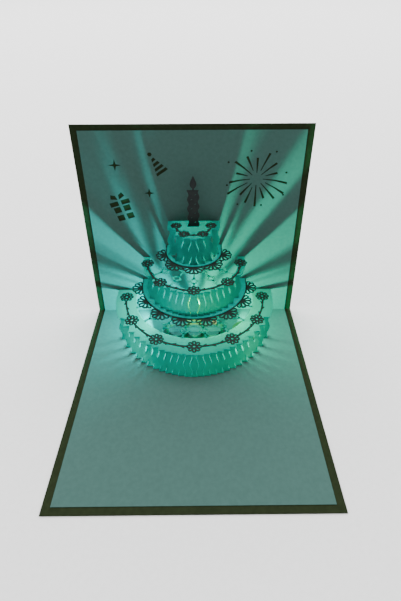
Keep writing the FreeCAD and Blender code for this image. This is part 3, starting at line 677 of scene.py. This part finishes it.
# The beams thrown back onto the panel: where each span of directions ends, in degrees round from
# the right through straight up to the left, and its share of the light. The lower beams spread from
# the lamp itself, the upper ones from a point below the panel
GAP = 0.08
LOWER_BEAMS = ((26.0, 1.0), (35.5, 0.5), (48.2, 1.0), (56.2, GAP), (62.4, 1.0), (79.5, GAP),
               (100.5, 1.0), (128.0, GAP), (140.6, 1.0), (146.0, 0.5), (180.0, 1.0))
UPPER_BEAMS = ((74.3, 0.0), (77.8, 1.0), (94.6, 0.0), (97.0, 1.0), (100.0, 0.0), (103.5, 0.8),
               (180.0, 0.0))
UPPER_CENTRE = (-10.0, -62.0)
card_pieces = bpy.data.collections.new("card_pieces")
for piece in bpy.context.scene.objects:
    if piece.type == "MESH":
        card_pieces.objects.link(piece)


def keep_inside(lamp):
    """Hides a lamp itself and lets its light fall on the card only."""
    lamp.visible_camera = False
    lamp.visible_glossy = False
    lamp.light_linking.receiver_collection = card_pieces
    bpy.context.scene.collection.objects.link(lamp)


def math_node(tree, operation, *values):
    """Math node fed by other nodes' outputs and by plain numbers."""
    node = tree.nodes.new("ShaderNodeMath")
    node.operation = operation
    for value, socket in zip(values, node.inputs):
        if isinstance(value, bpy.types.NodeSocket):
            tree.links.new(value, socket)
        else:
            socket.default_value = value
    return node.outputs["Value"]


def map_range(tree, value, start, full, least):
    """Value that grows from its least share at the start to 1 where it is full."""
    node = tree.nodes.new("ShaderNodeMapRange")
    node.inputs["From Min"].default_value = start
    node.inputs["From Max"].default_value = full
    node.inputs["To Min"].default_value = least
    tree.links.new(value, node.inputs["Value"])
    return node.outputs["Result"]


def share_by_turn(tree, rise, run, spans):
    """Share of the light for the direction with this rise and run, stepped by the spans."""
    node = tree.nodes.new("ShaderNodeValToRGB")
    node.color_ramp.interpolation = "CONSTANT"
    stops = node.color_ramp.elements
    stops.remove(stops[1])
    starts = [-180.0] + [end for end, _ in spans]
    for start, (_, share) in zip(starts, spans):
        place = 0.5 + start / 360.0
        stop = stops.new(place) if place > 0 else stops[0]
        stop.color = (share, share, share, 1)
    turn = math_node(tree, "DIVIDE", math_node(tree, "ARCTAN2", rise, run), 2 * math.pi)
    tree.links.new(math_node(tree, "ADD", turn, 0.5), node.inputs["Fac"])
    return node.outputs["Color"]


def side_colour(tree, way_x):
    """Colour of a ray by how far it goes to the left or right."""
    node = tree.nodes.new("ShaderNodeValToRGB")
    for stop, (place, colour) in zip(node.color_ramp.elements, SIDE_COLOURS):
        stop.position = place
        stop.color = (*colour, 1)
    tree.links.new(map_range(tree, way_x, -1.0, 1.0, 0.0), node.inputs["Fac"])
    return node.outputs["Color"]


def beams(tree, way, x, forward):
    """Share of a lamp's light in each direction: full forward, and in beams back to the panel."""
    def fade(axis, start, full, least):
        return map_range(tree, way[axis], start, full, least)

    def on_panel(axis, offset):
        """Where the ray meets the panel along one axis, from a point offset from the lamp."""
        slope = math_node(tree, "DIVIDE", way[axis], way["Y"])
        return math_node(tree, "ADD", math_node(tree, "MULTIPLY", slope, forward), offset)

    beam = math_node(tree, "MAXIMUM", fade(*FRONT_FADE), fade(*RISE_FADE))
    beam = math_node(tree, "MULTIPLY", beam, fade(*BELOW_FADE))
    lower = share_by_turn(tree, way["Z"], way["X"], LOWER_BEAMS)
    upper = share_by_turn(tree, on_panel("Z", GLOW_HEIGHT - UPPER_CENTRE[1]),
                          on_panel("X", x - UPPER_CENTRE[0]), UPPER_BEAMS)
    thrown_back = math_node(tree, "MAXIMUM", lower, upper)
    goes_forward = math_node(tree, "LESS_THAN", way["Y"], 0.0)
    return math_node(tree, "MULTIPLY", beam, math_node(tree, "MAXIMUM", thrown_back, goes_forward))


def glow(name, x, forward):
    """Small lamp whose light doesn't fade with distance and leaves it in beams."""
    data = bpy.data.lights.new(name, "POINT")
    data.energy = GLOW_ENERGY
    data.shadow_soft_size = GLOW_RADIUS * MM
    data.use_nodes = True
    tree = data.node_tree
    way = tree.nodes.new("ShaderNodeTexCoord")
    split = tree.nodes.new("ShaderNodeSeparateXYZ")
    tree.links.new(way.outputs["Normal"], split.inputs["Vector"])
    falloff = tree.nodes.new("ShaderNodeLightFalloff")
    tree.links.new(beams(tree, split.outputs, x, forward), falloff.inputs["Strength"])
    emission = tree.nodes["Emission"]
    tree.links.new(falloff.outputs["Constant"], emission.inputs["Strength"])
    tree.links.new(side_colour(tree, split.outputs["X"]), emission.inputs["Color"])
    lamp = bpy.data.objects.new(name, data)
    lamp.location = row_point(x, -forward, GLOW_HEIGHT)
    keep_inside(lamp)


def wide_glow(name, x, forward, turn_deg, colour, energy):
    """Flat soft lamp standing behind the bottom tier's strips, turned from facing forward."""
    data = bpy.data.lights.new(name, "AREA")
    data.shape = "RECTANGLE"
    data.color = colour
    data.energy = energy
    data.size, data.size_y = (side * MM for side in WIDE_GLOW_SIZE)
    lamp = bpy.data.objects.new(name, data)
    lamp.location = row_point(x, -forward, WIDE_GLOW_HEIGHT)
    lamp.rotation_euler = (math.radians(-90), 0, math.radians(turn_deg))
    keep_inside(lamp)


for row, forward in enumerate(GLOW_ROWS):
    glow("glow_left_%d" % row, -GLOW_X, forward)
    glow("glow_right_%d" % row, GLOW_X, forward)
for lamp_values in WIDE_GLOWS:
    wide_glow(*lamp_values)


# Soft studio light overhead, a pale floor and pale surroundings. Metres from here on
CEILING_PLACE = (0, 4.4, 1.3)
CEILING_SIZE = 10.0
CEILING_POWER = 1080.0
WORLD_STRENGTH = 0.12
FLOOR_HALF = 9.0
FLOOR_DROP = 0.0002
ceiling_data = bpy.data.lights.new("ceiling", "AREA")
ceiling_data.size = CEILING_SIZE
ceiling_data.energy = CEILING_POWER
ceiling = bpy.data.objects.new("ceiling", ceiling_data)
ceiling.location = CEILING_PLACE
bpy.context.scene.collection.objects.link(ceiling)

world = bpy.data.worlds.new("studio")
world.use_nodes = True
background = world.node_tree.nodes["Background"]
background.inputs["Color"].default_value = (1, 1, 1, 1)
background.inputs["Strength"].default_value = WORLD_STRENGTH
bpy.context.scene.world = world

floor_mesh = bmesh.new()
bmesh.ops.create_grid(floor_mesh, x_segments=1, y_segments=1, size=FLOOR_HALF)
floor_data = bpy.data.meshes.new("floor")
floor_mesh.to_mesh(floor_data)
floor_mesh.free()
floor = bpy.data.objects.new("floor", floor_data)
floor.location = (0, 0, -FLOOR_DROP)
floor_data.materials.append(paper("floor_pale", (0.86, 0.86, 0.86), (0.9, 0.9, 0.9), 0.9, 0.1))
bpy.context.scene.collection.objects.link(floor)

# Camera at the photograph's place, tilt and framing. The focal length and the place of the optical
# axis are in pixels of the frame's height
FRAME_HEIGHT = 601
FOCAL_LENGTH = 415.55
AXIS_DOWN = 232.68
SENSOR_WIDTH = 36.0
CAMERA_PLACE = (0.00340, -0.17794, 0.22447)
CAMERA_TURN_DEG = -0.302
CAMERA_TILT_DEG = 58.839
CAMERA_ROLL_DEG = -0.238
camera_data = bpy.data.cameras.new("camera")
camera_data.sensor_width = SENSOR_WIDTH
camera_data.lens = SENSOR_WIDTH * FOCAL_LENGTH / FRAME_HEIGHT
camera_data.shift_y = -(FRAME_HEIGHT / 2 - AXIS_DOWN) / FRAME_HEIGHT
camera_data.clip_start = 0.01
camera_data.clip_end = 20.0
camera = bpy.data.objects.new("camera", camera_data)
camera.matrix_world = (Matrix.Translation(CAMERA_PLACE)
                       @ Matrix.Rotation(math.radians(CAMERA_TURN_DEG), 4, "Z")
                       @ Matrix.Rotation(math.radians(CAMERA_TILT_DEG), 4, "X")
                       @ Matrix.Rotation(math.radians(CAMERA_ROLL_DEG), 4, "Z"))
bpy.context.scene.collection.objects.link(camera)
bpy.context.scene.camera = camera
